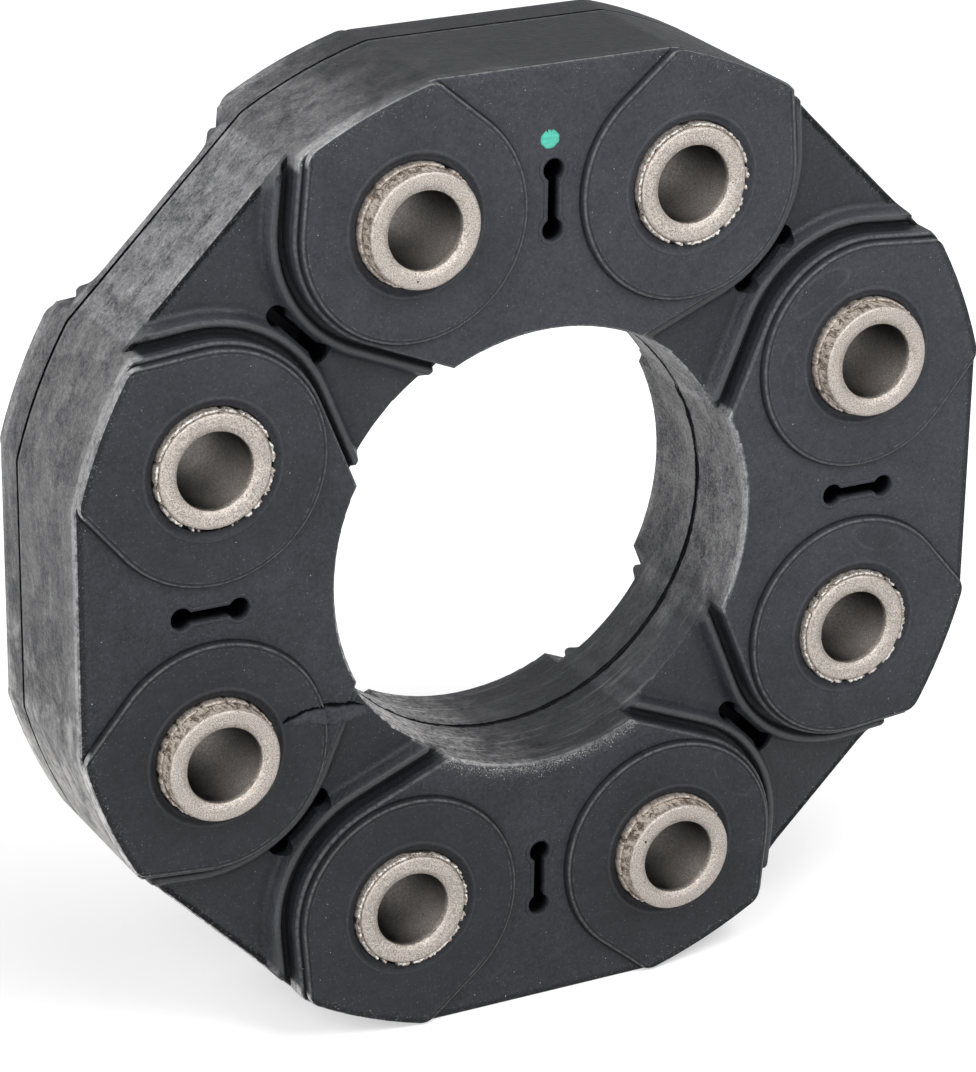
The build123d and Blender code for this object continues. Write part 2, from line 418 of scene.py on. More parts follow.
def smooth_noise(size, waves, seed):
    """Ring of size values about 0 that closes on itself.

    A sum of sine waves, each with its own seeded share and start.
    """
    rng = np.random.default_rng(seed)
    turn = whole_turn(size)
    out = np.zeros(size)
    for wave in waves:
        out += rng.normal() * np.sin(wave * turn + rng.uniform(0, 2 * np.pi))
    return out / max(1e-9, np.abs(out).max())


def grid_faces(rows, columns, close_rows=False, close_columns=False):
    """Index quads of a grid of points, as one array of four columns."""
    r = np.arange(rows if close_rows else rows - 1)
    c = np.arange(columns if close_columns else columns - 1)
    rr, cc = np.meshgrid(r, c, indexing="ij")
    r2, c2 = (rr + 1) % rows, (cc + 1) % columns
    quads = np.stack([rr * columns + cc, r2 * columns + cc, r2 * columns + c2, rr * columns + c2], -1)
    return quads.reshape(-1, 4)


def signed_volume(points, faces):
    """Volume inside closed faces: positive where they face outwards."""
    first = points[faces[:, 0]]
    total = 0.0
    for step in range(1, faces.shape[1] - 1):
        total += np.einsum("ij,ij->", first, np.cross(points[faces[:, step]], points[faces[:, step + 1]]))
    return total / 6.0


def make_piece(name, points, faces, material):
    """One mesh object at the origin from points in millimetres and index faces.

    The faces are turned round where they would face inwards.
    """
    points = np.asarray(points, float)
    if signed_volume(points, faces) < 0:
        faces = faces[:, ::-1]
    mesh = bpy.data.meshes.new(name)
    mesh.vertices.add(len(points))
    mesh.vertices.foreach_set("co", (points * MM).astype(np.float32).ravel())
    mesh.loops.add(faces.size)
    mesh.loops.foreach_set("vertex_index", faces.astype(np.int32).ravel())
    mesh.polygons.add(len(faces))
    mesh.polygons.foreach_set("loop_start", np.arange(0, faces.size, faces.shape[1], dtype=np.int32))
    mesh.polygons.foreach_set("loop_total", np.full(len(faces), faces.shape[1], dtype=np.int32))
    mesh.polygons.foreach_set("use_smooth", np.ones(len(faces), bool))
    mesh.update(calc_edges=True)
    mesh.validate()
    mesh.materials.append(material)
    piece = bpy.data.objects.new(name, mesh)
    bpy.context.scene.collection.objects.link(piece)
    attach(piece, "root")
    return piece


def weld_piece(piece):
    """Joins points that lie at one place, which closes the poles of a piece."""
    work = bmesh.new()
    work.from_mesh(piece.data)
    bmesh.ops.remove_doubles(work, verts=work.verts, dist=1e-7)
    work.to_mesh(piece.data)
    work.free()
    piece.data.update()


def joined(parts):
    """Points and faces of several closed shapes as those of one, each facing outwards."""
    starts = np.cumsum([0] + [len(corners) for corners, _ in parts[:-1]])
    points = np.concatenate([corners for corners, _ in parts])
    outwards = [faces if signed_volume(corners, faces) > 0 else faces[:, ::-1] for corners, faces in parts]
    return points, np.concatenate([faces + start for start, faces in zip(starts, outwards)])


def bead(path, outward, width, rise, closed):
    """A low bead along a path on a surface.

    At each point of the path the section is an ellipse across it: width wide,
    rising by rise along outward and sunk by half as much. An open bead narrows
    to a point at both ends.
    """
    count = len(path)
    width, rise = np.broadcast_to(width, count).copy(), np.broadcast_to(rise, count).copy()
    outward = np.broadcast_to(outward, (count, 3))
    if closed:
        ahead = np.roll(path, -1, 0) - np.roll(path, 1, 0)
    else:
        ahead = np.gradient(path, axis=0)
        from_end = np.minimum(np.arange(count), np.arange(count)[::-1])
        taper = np.sqrt(np.clip(from_end / (0.06 * count), 0, 1))
        width, rise = width * taper, rise * taper
    side = np.cross(outward, ahead)
    side /= np.linalg.norm(side, axis=1, keepdims=True)
    round_it = whole_turn(BEAD_SIDES)
    lift = np.where(np.sin(round_it) > 0, np.sin(round_it), 0.5 * np.sin(round_it))
    points = (
        path[:, None]
        + side[:, None] * (width[:, None] * 0.5 * np.cos(round_it))[..., None]
        + outward[:, None] * (rise[:, None] * lift)[..., None]
    )
    return points.reshape(-1, 3), grid_faces(count, BEAD_SIDES, close_rows=closed, close_columns=True)


def turned(outwards, sideways, angle):
    """Places given outwards and sideways from the axis, turned round it."""
    c, s = math.cos(angle), math.sin(angle)
    return outwards * c - sideways * s, outwards * s + sideways * c


def lone_noise(values, seed, waves):
    """Smooth numbers about 0 along values, from a seeded sum of sines."""
    rng = np.random.default_rng(seed)
    out = np.zeros_like(values, dtype=float)
    for wave in range(1, waves + 1):
        out += rng.normal() * np.sin(values * wave + rng.uniform(0, 2 * np.pi)) / math.sqrt(wave)
    return out / 2.0


def front_height(x, z):
    """How far each face stands from the disc's middle at places on it, in millimetres.

    The same fold as in disc_map. NaN in the bore, a moat, a slot or a rib and
    outside the disc.
    """
    reach, turn = np.hypot(x, z), np.arctan2(z, x)
    off_hole = HALF_STEP - np.abs(turn % (np.pi / 2) - np.pi / 4)
    u, v = reach * np.cos(off_hole) - BOLT_R, reach * np.sin(off_hole)
    rho, side = np.hypot(u, v), np.arctan2(v, u)
    past = np.maximum(0.0, np.maximum(OUTER_TANGENT - side, side - INNER_TANGENT))
    beyond_pad = rho * np.cos(past) - PAD_R
    beyond_seat = rho * np.cos(np.maximum(0.0, OUTER_TANGENT - np.abs(side))) - SEAT_R
    height = np.where(beyond_pad < -0.3, PAD_H, np.where(beyond_pad > 4.0, FLOOR_H, np.nan))
    height = np.where(beyond_seat < -0.2, SEAT_H, np.where(beyond_seat < 0.15, np.nan, height))
    off_flat = (turn + HALF_STEP) % (2 * HALF_STEP) - HALF_STEP
    flat, sideways = reach * np.cos(off_flat), np.abs(reach * np.sin(off_flat))
    lobe = SLOT_LOBE_R + 0.3
    slot = (np.abs(flat - SLOT_REACH) < SLOT_HALF_SPAN + lobe) & (sideways < lobe)
    outside = (reach < BORE_R + 0.5) | (reach > OUTER_R - 0.5) | (flat > FLAT_R - 0.5)
    gone = outside | slot | (rho < MOAT_R + 0.3)
    return np.where(gone, np.nan, height)


def paint_points(piece, name, values):
    """Stores one number at each point of a piece, for its material to read."""
    layer = piece.data.attributes.new(name, "FLOAT", "POINT")
    layer.data.foreach_set("value", np.asarray(values, np.float32).ravel())


def assign(node, material):
    """Gives a CAD node's material slots a material."""
    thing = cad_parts[node]
    if not thing.material_slots:
        raise RuntimeError(f"{node} has no material slot")
    for slot in thing.material_slots:
        slot.link = "OBJECT"
        slot.material = material


# ---------------------------------------------------------------- materials


def disc_map(g):
    """Where a point lies on the disc, worked out from its place alone.

    One eighth of the disc stands for all: the angle is folded at the diagonals
    and the place is taken from the hole in that eighth, u outwards and v
    towards the sunk diagonal. The distance to a pad's or a seat's side is the
    distance to the hole, times the cosine of how far the point lies past the
    angle where the side turns from a circle into a straight line.
    """
    at = SimpleNamespace()
    at.place, (at.x, at.y, at.z) = g.place()
    nx, ny, nz = g.facing()
    at.reach = (at.x * at.x + at.z * at.z).sqrt()
    at.up = at.z / at.reach
    at.turn = g.math("ARCTAN2", at.z, at.x)
    at.high = abs(at.y)
    off_diagonal = abs((at.turn - math.pi / 4).wrapped(-math.pi / 4, math.pi / 4))
    off_hole = HALF_STEP - off_diagonal
    u = at.reach * off_hole.cos() - BOLT_R
    v = at.reach * off_hole.sin()
    at.rho = (u * u + v * v).sqrt()
    side = g.math("ARCTAN2", v, u)
    wide = abs(side)
    past = (OUTER_TANGENT - side).most(side - INNER_TANGENT).most(0.0)
    at.beyond_pad = at.rho * past.cos() - PAD_R
    at.beyond_seat = at.rho * (OUTER_TANGENT - wide).most(0.0).cos() - SEAT_R
    off_flat = at.turn.wrapped(-HALF_STEP, HALF_STEP)
    at.in_from_wall = (OUTER_R - at.reach).least(FLAT_R - at.reach * off_flat.cos())
    flat_on = at.flat_on = abs(ny)
    at.face = flat_on.ramp(0.75, 0.97)
    at.edge = flat_on.ramp(0.10, 0.35) * flat_on.ramp(0.995, 0.93)
    at.recess = at.high.ramp(10.9, 10.5)
    at.seat = at.high.ramp(12.3, 12.6)
    outward = (nx * at.x + nz * at.z) / at.reach
    # Painted shade: the walls at the ribs' ends take less of the wall dust and stay dark
    rib_end = at.beyond_pad.ramp(-0.1, 0.2) * at.high.ramp(FLOOR_H - 0.1, FLOOR_H + 0.35)
    on_wall = (1.0 - at.face) * (1.0 - rib_end * 0.85)
    at.outer_wall = at.in_from_wall.ramp(1.2, 0.6) * outward.ramp(0.30, 0.60) * on_wall
    at.bore_wall = at.reach.ramp(BORE_R + 1.2, BORE_R + 0.6) * outward.ramp(-0.30, -0.60) * on_wall
    at.off_walls = (1.0 - at.outer_wall - at.bore_wall).clamped()
    at.rib = at.recess * at.high.ramp(FLOOR_H + 0.05, FLOOR_H + 0.3) * at.off_walls
    at.along = at.turn * at.reach
    return at


def rubber_grain(g, at):
    """Noises of the bare rubber: fine grain, mottling and wide clouds."""
    fine = g.noise(at.place, 2.3, 3.0, 0.80).ramp(0.34, 0.66)
    return fine, g.noise(at.place, 0.9, 4.0, 0.62), g.noise(at.place, 0.11, 4.0, 0.62, 0.4)


def rubber_specks(g, at, cloud):
    """Light specks on the faces: many faint ones and a few bright ones, thicker in the clouds."""
    near, kind = g.cells(at.place, 1.9)
    faint = near.ramp(0.20, 0.07) * kind.above(0.40) * 0.5
    near, kind = g.cells(at.place, 0.75)
    bright = near.ramp(0.072, 0.030) * kind.above(0.35)
    return (faint + bright * 0.7) * (cloud * 1.4 + 0.15).clamped() * at.face


def outer_deposit_and_light(g, at):
    """Dust on the outer wall, with painted light: clouds, wiped patches and leather-like grain.

    It is thick on the side that faces -X and thin on top, partly real dust and
    partly painted light and shade, as the light falls from the left; it turns to white chalk at the lower
    left.
    """
    clouds = g.noise(at.place, 0.17, 5.0, 0.64, 0.9)
    wipe = g.noise(g.combined(at.along * 0.10, at.y * 0.20, 7.0), 1.0, 6.0, 0.68, 1.0)
    slanted = g.combined(at.along * 0.16 + at.y * 0.30, at.y * 0.24 - at.along * 0.12, 2.0)
    streak = g.noise(slanted, 1.0, 5.0, 0.72, 0.8)
    leather = g.noise(at.place, 1.05, 5.0, 0.80)
    grit = g.noise(at.place, 2.8, 3.0, 0.8)
    uneven = (clouds - 0.5) * 0.9
    # Partly painted light: more dust shows on the side facing -X, where the light falls
    left = (uneven - at.x / at.reach).ramp(0.02, 0.50)
    low = (uneven * 0.8 - at.up).ramp(0.08, 0.46)
    amount = clouds.ramp(0.34, 0.66) * 0.30 + wipe.ramp(0.34, 0.68) * 0.22 + streak.ramp(0.48, 0.70) * 0.34
    front_band = (at.y + clouds * 5.0).ramp(-4.0, -9.5) * 0.30
    amount = amount + (leather - 0.5) * 1.3 + (grit - 0.5) * 1.4 + front_band + 0.14
    shown = left * (at.up.ramp(0.1, 0.6) * 0.08 + 1.05) + 0.06
    scratch_way = g.noise(g.combined(at.along * 0.05, at.y * 2.6, 5.0), 1.0, 2.0, 0.5, 0.3)
    scratch = scratch_way.ramp(0.70, 0.75) * left * 0.3
    crumbs_near, kind = g.cells(at.place, 1.5)
    crumbs = crumbs_near.ramp(0.20, 0.08) * kind.above(0.5) * low * left * 0.9
    chalk = low * left * ((streak - 0.5) * 3.0 + (leather - 0.5) * 2.5 + 0.66).clamped()
    dust_and_light_mask = ((amount * shown + scratch + crumbs) * at.outer_wall).most(0.0)
    return dust_and_light_mask, chalk * at.outer_wall, wipe, leather


def bore_deposit_and_light(g, at):
    """Scuffs in the bore: soft patches and fine wipes round it.

    Pale at the upper right, partly real scuffs and partly painted light where the light falls, whitish at the
    lower left, and dark between them.
    """
    wipe = g.noise(g.combined(at.along * 0.11, at.y * 0.22, 11.0), 1.0, 5.0, 0.66, 0.5)
    scratch = g.noise(g.combined(at.along * 0.07, at.y * 1.3, 2.0), 1.0, 5.0, 0.75, 0.6)
    patch = g.noise(at.place, 0.16, 4.0, 0.58, 0.5)
    leather = g.noise(at.place, 1.3, 5.0, 0.78)
    grit = g.noise(at.place, 2.9, 3.0, 0.8)
    uneven = (patch - 0.5) * 0.9
    # Partly painted light: the scuffs are paler on the side of the bore that the light reaches
    pale = ((at.x * 0.93 + at.z * 0.36) / at.reach + uneven * 0.5).ramp(0.48, 1.0)
    amount = patch.ramp(0.36, 0.64) * 0.20 + wipe.ramp(0.38, 0.66) * 0.22
    amount = amount + (leather - 0.5) * 1.3 + (grit - 0.5) * 1.7 + 0.22
    streaks = scratch.ramp(0.50, 0.66)
    amount = amount * (pale * 1.50 + 0.14) + streaks * wipe.ramp(0.40, 0.60) * 0.30
    low_left = (uneven * 0.5 - (at.x * 0.72 + at.z * 0.69) / at.reach).ramp(0.66, 0.98)
    chalk = low_left * (streaks * 0.7 + (leather - 0.5) * 3.0 + 0.35).clamped()
    past_edge = at.reach.ramp(BORE_R + 0.5, BORE_R + 0.25)
    return (amount * at.bore_wall).most(0.0), chalk * at.bore_wall * past_edge


def worn_and_painted_edges(g, at):
    """Worn light edges and painted highlights, and painted shade with some dirt, as (fine light lines, dark
    jagged lines beside them, dark grooves, slots and creases).
    """
    broken = g.noise(at.place, 1.5, 4.0, 0.72)
    grit = g.noise(at.place, 4.0, 3.0, 0.8)
    on_pad = at.high.ramp(11.0, 11.4)
    worn = broken.ramp(0.34, 0.60)
    upper = at.up.ramp(0.2, 0.9)
    # Painted highlight with some wear along the outer edges, lighter on top where the light falls
    outline = at.flat_on.band(0.68, 0.30) * at.in_from_wall.ramp(1.2, 0.7)
    outline = outline * on_pad * (worn * 0.7 + 0.3) * (upper * 0.34 + 0.10)
    bore = at.edge * at.reach.ramp(BORE_R + 0.9, BORE_R + 0.5) * on_pad * worn * 0.30
    pad_side = at.edge * at.beyond_pad.band(-0.2, 0.5) * on_pad * worn * 0.14
    # Painted highlights on the seat's rounded edge and on the fine raised line inside it
    seat_rim = at.seat * at.beyond_seat.band(-0.18, 0.20) * (worn * 0.20 + 0.02)
    second = at.seat * at.beyond_seat.band(-0.72, 0.14) * broken.ramp(0.46, 0.66) * 0.16
    # Painted highlight along the ribs' crests
    crest = at.rib * at.beyond_pad.band(1.45, 0.95) * 0.10
    near_edge = at.face * (at.in_from_wall.ramp(2.4, 0.2) + at.reach.ramp(BORE_R + 1.4, BORE_R + 0.2) * 0.5)
    low_bore = at.face * at.reach.ramp(BORE_R + 2.2, BORE_R + 0.2) * (-at.up).ramp(0.55, 0.85) * on_pad
    powder = near_edge * grit.ramp(0.56, 0.66) * broken.ramp(0.40, 0.62) * 0.5
    powder = powder + low_bore * grit.ramp(0.48, 0.62) * broken.ramp(0.30, 0.60) * 0.8
    moat = at.seat * at.face * at.rho.band(MOAT_R + 0.30, 0.28) * 0.03
    light = outline + bore + pad_side + seat_rim + second + crest + powder + moat
    # Painted shade in the crease at the seat's foot and in the groove just inside its edge
    dark = at.beyond_seat.band(0.14, 0.26) * at.high.ramp(12.5, 12.1) * at.high.ramp(11.6, 11.9) * 0.8
    dark = dark + at.seat * at.beyond_seat.band(-0.50, 0.16) * 0.45
    # Dark jagged lines along the outer edges: dirt, with painted shade on the sides away from the top
    jagged = at.in_from_wall - broken * 1.3
    dark = dark + at.face * jagged.ramp(0.50, 0.0) * (at.recess + (1.0 - at.recess) * (1.0 - upper) * 0.5)
    dark = dark + at.edge * at.in_from_wall.ramp(1.2, 0.7) * broken.ramp(0.62, 0.40) * (1.0 - upper) * 0.6
    # Painted shade: the walls of the slots near black
    in_pad = at.beyond_pad.ramp(-0.8, -1.4) * at.high.ramp(PAD_H - 0.1, PAD_H - 1.2)
    slot = in_pad.most(at.high.ramp(FLOOR_H - 0.2, FLOOR_H - 1.0)) * (1.0 - at.face)
    slot = slot * at.rho.ramp(MOAT_R + 0.2, MOAT_R + 0.6)
    slot = slot * at.in_from_wall.ramp(1.4, 2.0) * at.reach.ramp(BORE_R + 1.4, BORE_R + 2.0)
    # Painted shade in the groove at the pads' foot and along the ribs' outer foot
    groove = at.recess * at.beyond_pad.ramp(0.95, 0.45)
    foot = at.recess * at.beyond_pad.band(3.0, 1.1) * 0.35
    dark = dark + groove * 0.38 + foot * 0.7 + slot
    return light.clamped(), dark.clamped()


def seat_marks(g, at):
    """Faint leaf-shaped witness marks on the front seats, as (outline, inside)."""
    outline, inside = 0.0, 0.0
    for across, up, slant, half_length, half_width in SEAT_MARKS:
        c, s = math.cos(math.radians(slant)), math.sin(math.radians(slant))
        dx, dz = at.x - across, at.z - up
        long_way = (dx * c + dz * s) / half_length
        cross_way = (dz * c - dx * s) / half_width + long_way * long_way * 0.35
        ring = (long_way * long_way + cross_way * cross_way).sqrt()
        outline = ring.band(1.0, 0.16) + outline
        inside = ring.ramp(1.05, 0.75) + inside
    broken = g.noise(at.place, 0.5, 3.0, 0.6).ramp(0.42, 0.62)
    front = at.seat * at.y.ramp(0.0, -1.0)
    return (outline * front * broken).clamped(), (inside * front).clamped()


def mould_lines(g, at):
    """Black ragged lines along the middle of the bore and round the outer wall."""
    ragged = g.noise(g.combined(at.along * 0.7, 0.0, 0.0), 1.0, 5.0, 0.75)
    wander = g.noise(g.combined(at.along * 0.16, 3.0, 0.0), 1.0, 3.0, 0.6)
    bore = at.bore_wall * (at.high - ragged * 0.55 - wander.ramp(0.35, 0.70) * 0.30).ramp(0.12, 0.02)
    low_side = 1.0 - at.up.ramp(0.55, 0.90) * 0.85
    outer = at.outer_wall * (abs(at.y - MOULD_LINE_H) - ragged * 0.45).ramp(0.16, 0.02) * low_side
    beside = at.outer_wall * (at.y - (MOULD_LINE_H - 0.60)).band(0.0, 0.28) * ragged.ramp(0.4, 0.6)
    return (bore + outer).clamped(), beside


def rubber_material(settings):
    """Charcoal rubber: specked faces, dusty wiped walls, worn edges, satin ribs and black lines, with painted
    light and shade on the faces, walls, edges and grooves.
    """
    g = material_graph("flex_disc_rubber")
    at = disc_map(g)
    fine, mottle, cloud = rubber_grain(g, at)
    specks = rubber_specks(g, at, cloud)
    dust_and_light_mask, wall_chalk, wipe, leather = outer_deposit_and_light(g, at)
    scuff_and_light_mask, bore_chalk = bore_deposit_and_light(g, at)
    light, dark = worn_and_painted_edges(g, at)
    mark_line, mark_inside = seat_marks(g, at)
    lines, beside_line = mould_lines(g, at)

    def shade(share):
        return tinted(settings.face_colour, share)

    tone = (cloud.ramp(0.30, 0.72) * 0.26 + mottle.ramp(0.25, 0.75) * 0.22 + fine * 0.52).clamped()
    # Painted light and shade: the faces grow lighter towards the upper right and darker towards the lower
    # left, as the light falls
    painted_light_gradient = ((at.x * 0.75 + at.z * 1.25) / 130.0 + (cloud - 0.5) * 0.5).ramp(-0.55, 0.55)
    spots = specks * settings.speck_amount + mark_line * 0.05
    colour = g.layered(
        g.mix(tone, shade(0.38), shade(1.76)),
        # Painted shade towards the lower left and painted light towards the upper right
        ((1.0 - painted_light_gradient) * 0.34, shade(0.35)),
        (painted_light_gradient * 0.24, shade(2.0)),
        # Painted shade: the seats are darker, most towards the lower left
        (at.seat * (1.0 - painted_light_gradient * 0.8) * 0.42, shade(0.45)),
        # Painted shade: the faces in the sunk recesses are darker
        (at.recess * at.face * 0.38, shade(0.45)),
        # Dust on the walls and in the bore, with painted light where they face the light
        (((dust_and_light_mask + scuff_and_light_mask) * settings.dust_and_light_amount).clamped(), settings.dusty_lit_wall_colour),
        # Painted shade: the top of the outer wall is darker, where little light falls
        (at.outer_wall * at.up.ramp(0.88, 0.97) * 0.72, shade(0.55)),
        ((wall_chalk + bore_chalk).clamped() * 0.85, (0.62, 0.61, 0.60)),
        (mark_inside * 0.22, shade(0.5)),
        (spots.clamped(), (0.26, 0.26, 0.26)),
        # Painted shade in creases, grooves and slots, with some dirt along the edges
        (dark * 0.85, (0.005, 0.005, 0.006)),
        # Worn edges with painted highlights
        ((light + beside_line * 0.3).clamped() * 0.8, settings.worn_and_lit_edge_colour),
        (lines, (0.003, 0.003, 0.004)),
    )
    satin = at.recess * at.off_walls
    rough = 0.58 + (mottle - 0.5) * 0.20 + dust_and_light_mask * 0.2 - satin * 0.20
    # The painted shade and the black lines are made a metal with a black face, which gives back no light,
    # like the shade in a deep cleft
    black_lines_and_painted_shade = (lines + dark * 0.75).clamped()
    # A bump works its height out three times at each point, so it reads the plain noises alone
    normal = g.bump(fine * 0.45 + mottle * 0.35, 0.00010, 0.7)
    wall_height = (wipe * 0.6 + leather) * (at.outer_wall + at.bore_wall).clamped()
    normal = g.bump(wall_height, 0.00024, 0.8, normal)
    return g.surface(
        Base_Color=colour, Metallic=black_lines_and_painted_shade, Roughness=rough, Specular_IOR_Level=RUBBER_SPECULAR, Normal=normal
    )


def sleeve_material(settings):
    """Sandy warm steel: a pale grained face, a bore painted near black as shade with a painted lit patch,
    stained sides and a pale broken foot ring.
    """
    g = material_graph("flex_disc_sleeve_steel")
    place, (x, y, z) = g.place()
    flake, stain, inside, glow = [g.attribute(name) for name in ("flake", "stain", "bore", "glow")]
    sand = g.noise(place, 5.2, 3.0, 0.8)
    grain = g.noise(place, 2.4, 4.0, 0.75)
    patch = g.noise(place, 0.55, 3.0, 0.6)
    pit_near, pit_kind = g.cells(place, 2.3)
    pits = pit_near.ramp(0.26, 0.10) * pit_kind.above(0.66)
    steel = settings.steel_colour
    drawn_out = g.stretched(place, (1.0, 0.45, 1.0))
    crust = (g.noise(drawn_out, 1.5, 5.0, 0.75, 0.6) + (sand - 0.5) * 0.35).ramp(0.42, 0.58)
    colour = g.layered(
        g.mix(sand.ramp(0.36, 0.64), tinted(steel, 0.48), tinted(steel, 1.34)),
        (patch.ramp(0.35, 0.70) * 0.30, tinted(steel, 0.70)),
        (pits * 0.60, tinted(steel, 0.22)),
        (grain.ramp(0.62, 0.74) * 0.35, (0.62, 0.60, 0.57)),
        ((stain * (1.0 - crust) * 0.9).clamped(), settings.stain_colour),
        ((stain * crust * 0.80).clamped(), (0.60, 0.54, 0.47)),
        # Painted shade: the bore near black
        ((inside * (patch * 0.3 + 0.84)).clamped(), (0.007, 0.0064, 0.006)),
        # Painted light: a lit patch on one side of the bore
        ((glow * (grain.ramp(0.38, 0.60) * 0.6 + 0.4)).clamped(), (0.80, 0.75, 0.71)),
        (flake * 0.75, tinted(settings.stain_colour, 1.5)),
        ((flake * grain.ramp(0.43, 0.56)).clamped(), settings.flake_colour),
    )
    for across, up, width in SLEEVE_PITS:
        dx, dz = x - across, z - up
        pit = (dx * dx + dz * dz).sqrt().ramp(width, width * 0.6) * y.ramp(0.0, -1.0)
        colour = g.mix(pit, colour, (0.01, 0.009, 0.008))
    normal = g.bump(sand * 0.5 + grain * 0.5 - pits * 0.7 - stain * grain * 0.8, 0.00016, 0.8)
    rough = 0.40 + sand * 0.22 + stain * 0.22 + inside * 0.10
    # The bore is made wholly metal, so that its painted shade gives back no light
    return g.surface(Base_Color=colour, Metallic=inside * 0.15 + 0.85, Roughness=rough, Normal=normal)


def paint_material(settings):
    """Teal paint: paler in the middle, darker and thinner at the rim, with faint brush streaks."""
    g = material_graph("flex_disc_paint")
    place, _ = g.place()
    rim = g.attribute("rim")
    streak = g.noise(g.stretched(place, (1.0, 1.0, 5.0)), 0.7, 3.0, 0.6)
    paint = settings.paint_colour
    colour = g.mix(streak.ramp(0.3, 0.7), tinted(paint, 0.86), tinted(paint, 1.15))
    colour = g.mix(rim.ramp(0.72, 1.0) * 0.55, colour, tinted(paint, 0.45))
    return g.surface(Base_Color=colour, Roughness=0.48, Normal=g.bump(streak + rim * 0.4, 0.00004))


def torn_material(settings):
    """Torn rubber: the face's charcoal with a dry, lighter and rougher skin, and a near-black band painted as
    the shadow in the gap under its free edge.
    """
    g = material_graph("flex_disc_torn_rubber")
    place, _ = g.place()
    painted_gap_shadow = g.attribute("painted_gap_shadow")
    skin = g.noise(place, 1.6, 4.0, 0.7)
    grit = g.noise(place, 5.0, 2.0, 0.7)
    base = settings.face_colour
    colour = g.mix((skin * 0.7 + grit * 0.3).ramp(0.3, 0.7), tinted(base, 0.7), tinted(base, 2.0))
    # Painted shadow: the band in the gap is near black, and made a metal so that it gives back no light
    colour = g.mix(painted_gap_shadow, colour, (0.003, 0.003, 0.004))
    normal = g.bump(skin + grit * 0.4, 0.00012)
    return g.surface(
        Base_Color=colour, Metallic=painted_gap_shadow, Roughness=0.62, Specular_IOR_Level=RUBBER_SPECULAR, Normal=normal
    )


def crumb_material():
    """Dry grey rubber dust, each grain a little different."""
    g = material_graph("flex_disc_crumbs")
    place, _ = g.place()
    shade = g.noise(place, 0.9, 2.0, 0.6)
    fine = g.noise(place, 6.0, 2.0, 0.6)
    colour = g.mix((shade * 0.7 + fine * 0.3).ramp(0.35, 0.65), (0.13, 0.13, 0.13), (0.36, 0.36, 0.355))
    return g.surface(Base_Color=colour, Roughness=0.9, Normal=g.bump(fine, 0.00003))


def cord_material():
    """Pale wound yarn: fine turns along the loop, each a little different."""
    g = material_graph("flex_disc_cord")
    place, _ = g.place()
    turns = g.noise(g.stretched(place, (0.15, 4.0, 0.15)), 1.0, 3.0, 0.6)
    fuzz = g.noise(place, 6.0, 2.0, 0.6)
    colour = g.mix(turns.ramp(0.3, 0.7), (0.36, 0.31, 0.20), (0.58, 0.52, 0.38))
    colour = g.mix(fuzz.ramp(0.5, 0.8) * 0.4, colour, (0.66, 0.61, 0.48))
    return g.surface(Base_Color=colour, Roughness=0.85, Normal=g.bump(turns + fuzz * 0.3, 0.0002))


def collar_material():
    """Matt dark moulded collar with a faint grain."""
    g = material_graph("flex_disc_collar")
    place, _ = g.place()
    grain = g.noise(place, 3.0, 3.0, 0.6)
    colour = g.mix(grain.ramp(0.3, 0.7), (0.012, 0.012, 0.013), (0.026, 0.026, 0.028))
    return g.surface(Base_Color=colour, Roughness=0.55, Normal=g.bump(grain, 0.00006))


# ---------------------------------------------------------------- pieces


def ring(place, radius, y, turn):
    """Points round a place on the disc, at y along the disc's axis."""
    radius, y = radius + 0.0 * turn, y + 0.0 * turn
    return np.stack([place[0] + radius * np.cos(turn), y, place[1] + radius * np.sin(turn)], -1)


def even_line(corners, shares):
    """Points along a line of corners, at shares of its length from 0 to 1."""
    length = np.concatenate([[0.0], np.cumsum(np.linalg.norm(np.diff(corners, axis=0), axis=1))])
    return np.stack([np.interp(shares * length[-1], length, corners[:, k]) for k in (0, 1)], -1)


def face_bead(x, z, end, height, width, rise, closed):
    """A bead along a line on one face."""
    path = np.stack([x, np.full_like(x, end * height), z], -1)
    return bead(path, np.array([0.0, end, 0.0]), width, rise, closed)


